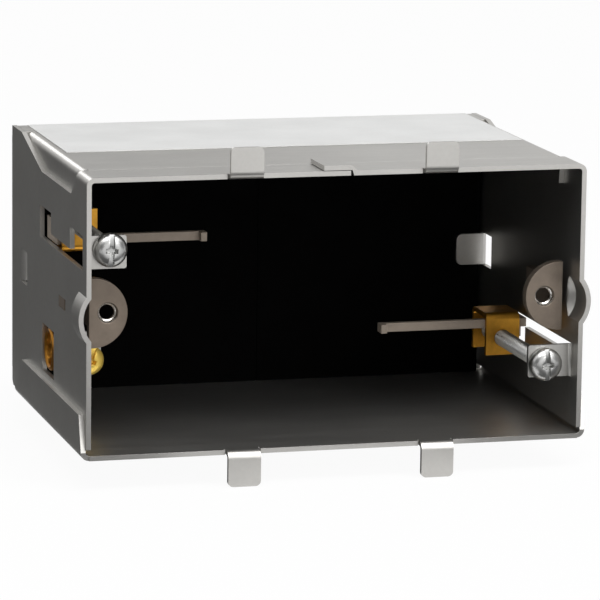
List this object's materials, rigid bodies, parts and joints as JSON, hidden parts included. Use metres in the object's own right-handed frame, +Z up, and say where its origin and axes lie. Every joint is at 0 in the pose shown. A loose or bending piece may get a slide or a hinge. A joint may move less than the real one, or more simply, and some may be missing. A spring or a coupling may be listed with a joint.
{
  "type": "fire rated wall box",
  "caption": "Folded steel wall box with an intumescent lining, accessory lugs, an earth terminal and screw-drawn side clamps that grip the back of a plasterboard wall.",
  "frame": {"origin": "centre of the cavity's opening, in the plane of the front rim", "axes": "+X to the right, +Y back into the wall, +Z up, seen from the open front"},
  "size_m": [0.0978, 0.0709, 0.0629],
  "materials": {
    "zinc_steel": "zinc coated sheet",
    "lug_steel": "plain steel",
    "arm_steel": "plain steel",
    "screw_steel": "zinc plated",
    "brass": "plain brass",
    "lining": "matt graphite",
    "label": "satin white film"
  },
  "bodies": {
    "box": {"channel": "zinc_steel", "left_side": "zinc_steel", "right_side": "zinc_steel", "left_lining": "lining", "right_lining": "lining", "left_lug": "lug_steel", "right_lug": "lug_steel", "earth_washer": "brass", "earth_cage": "brass", "blank_label": "label"},
    "left_screw": {"left_clamp_screw": "screw_steel", "left_retainer": "screw_steel"},
    "left_saddle": {"left_saddle": "brass"},
    "left_arm": {"left_clamp_arm": "arm_steel"},
    "right_screw": {"right_clamp_screw": "screw_steel", "right_retainer": "screw_steel"},
    "right_saddle": {"right_saddle": "brass"},
    "right_arm": {"right_clamp_arm": "arm_steel"},
    "earth_screw": {"earth_screw": "brass"}
  },
  "joints": [
    {"name": "left_saddle_travel", "type": "slide", "parent": "box", "child": "left_saddle", "axis": [0, -1, 0], "range_m": [0, 0.0201]},
    {"name": "left_screw_turn", "type": "hinge", "parent": "box", "child": "left_screw", "pos_m": [-0.0424, 0.0038, 0.0123], "axis": [0, 1, 0], "range_deg": [0, 12100]},
    {"name": "left_arm_out", "type": "slide", "parent": "left_saddle", "child": "left_arm", "axis": [-1, 0, 0], "range_m": [0, 0.0195]},
    {"name": "right_saddle_travel", "type": "slide", "parent": "box", "child": "right_saddle", "axis": [0, -1, 0], "range_m": [0, 0.0201]},
    {"name": "right_screw_turn", "type": "hinge", "parent": "box", "child": "right_screw", "pos_m": [0.0413, 0.0038, -0.0123], "axis": [0, 1, 0], "range_deg": [0, 12100]},
    {"name": "right_arm_out", "type": "slide", "parent": "right_saddle", "child": "right_arm", "axis": [1, 0, 0], "range_m": [0, 0.0195]},
    {"name": "earth_screw_turn", "type": "hinge", "parent": "box", "child": "earth_screw", "pos_m": [-0.0409, 0.029, -0.013], "axis": [0, 1, 0], "continuous": true}
  ],
  "couplings": [
    {"joint": "left_screw_turn", "follows": "left_saddle_travel", "rad_per_m": 10472},
    {"joint": "right_screw_turn", "follows": "right_saddle_travel", "rad_per_m": 10472}
  ]
}
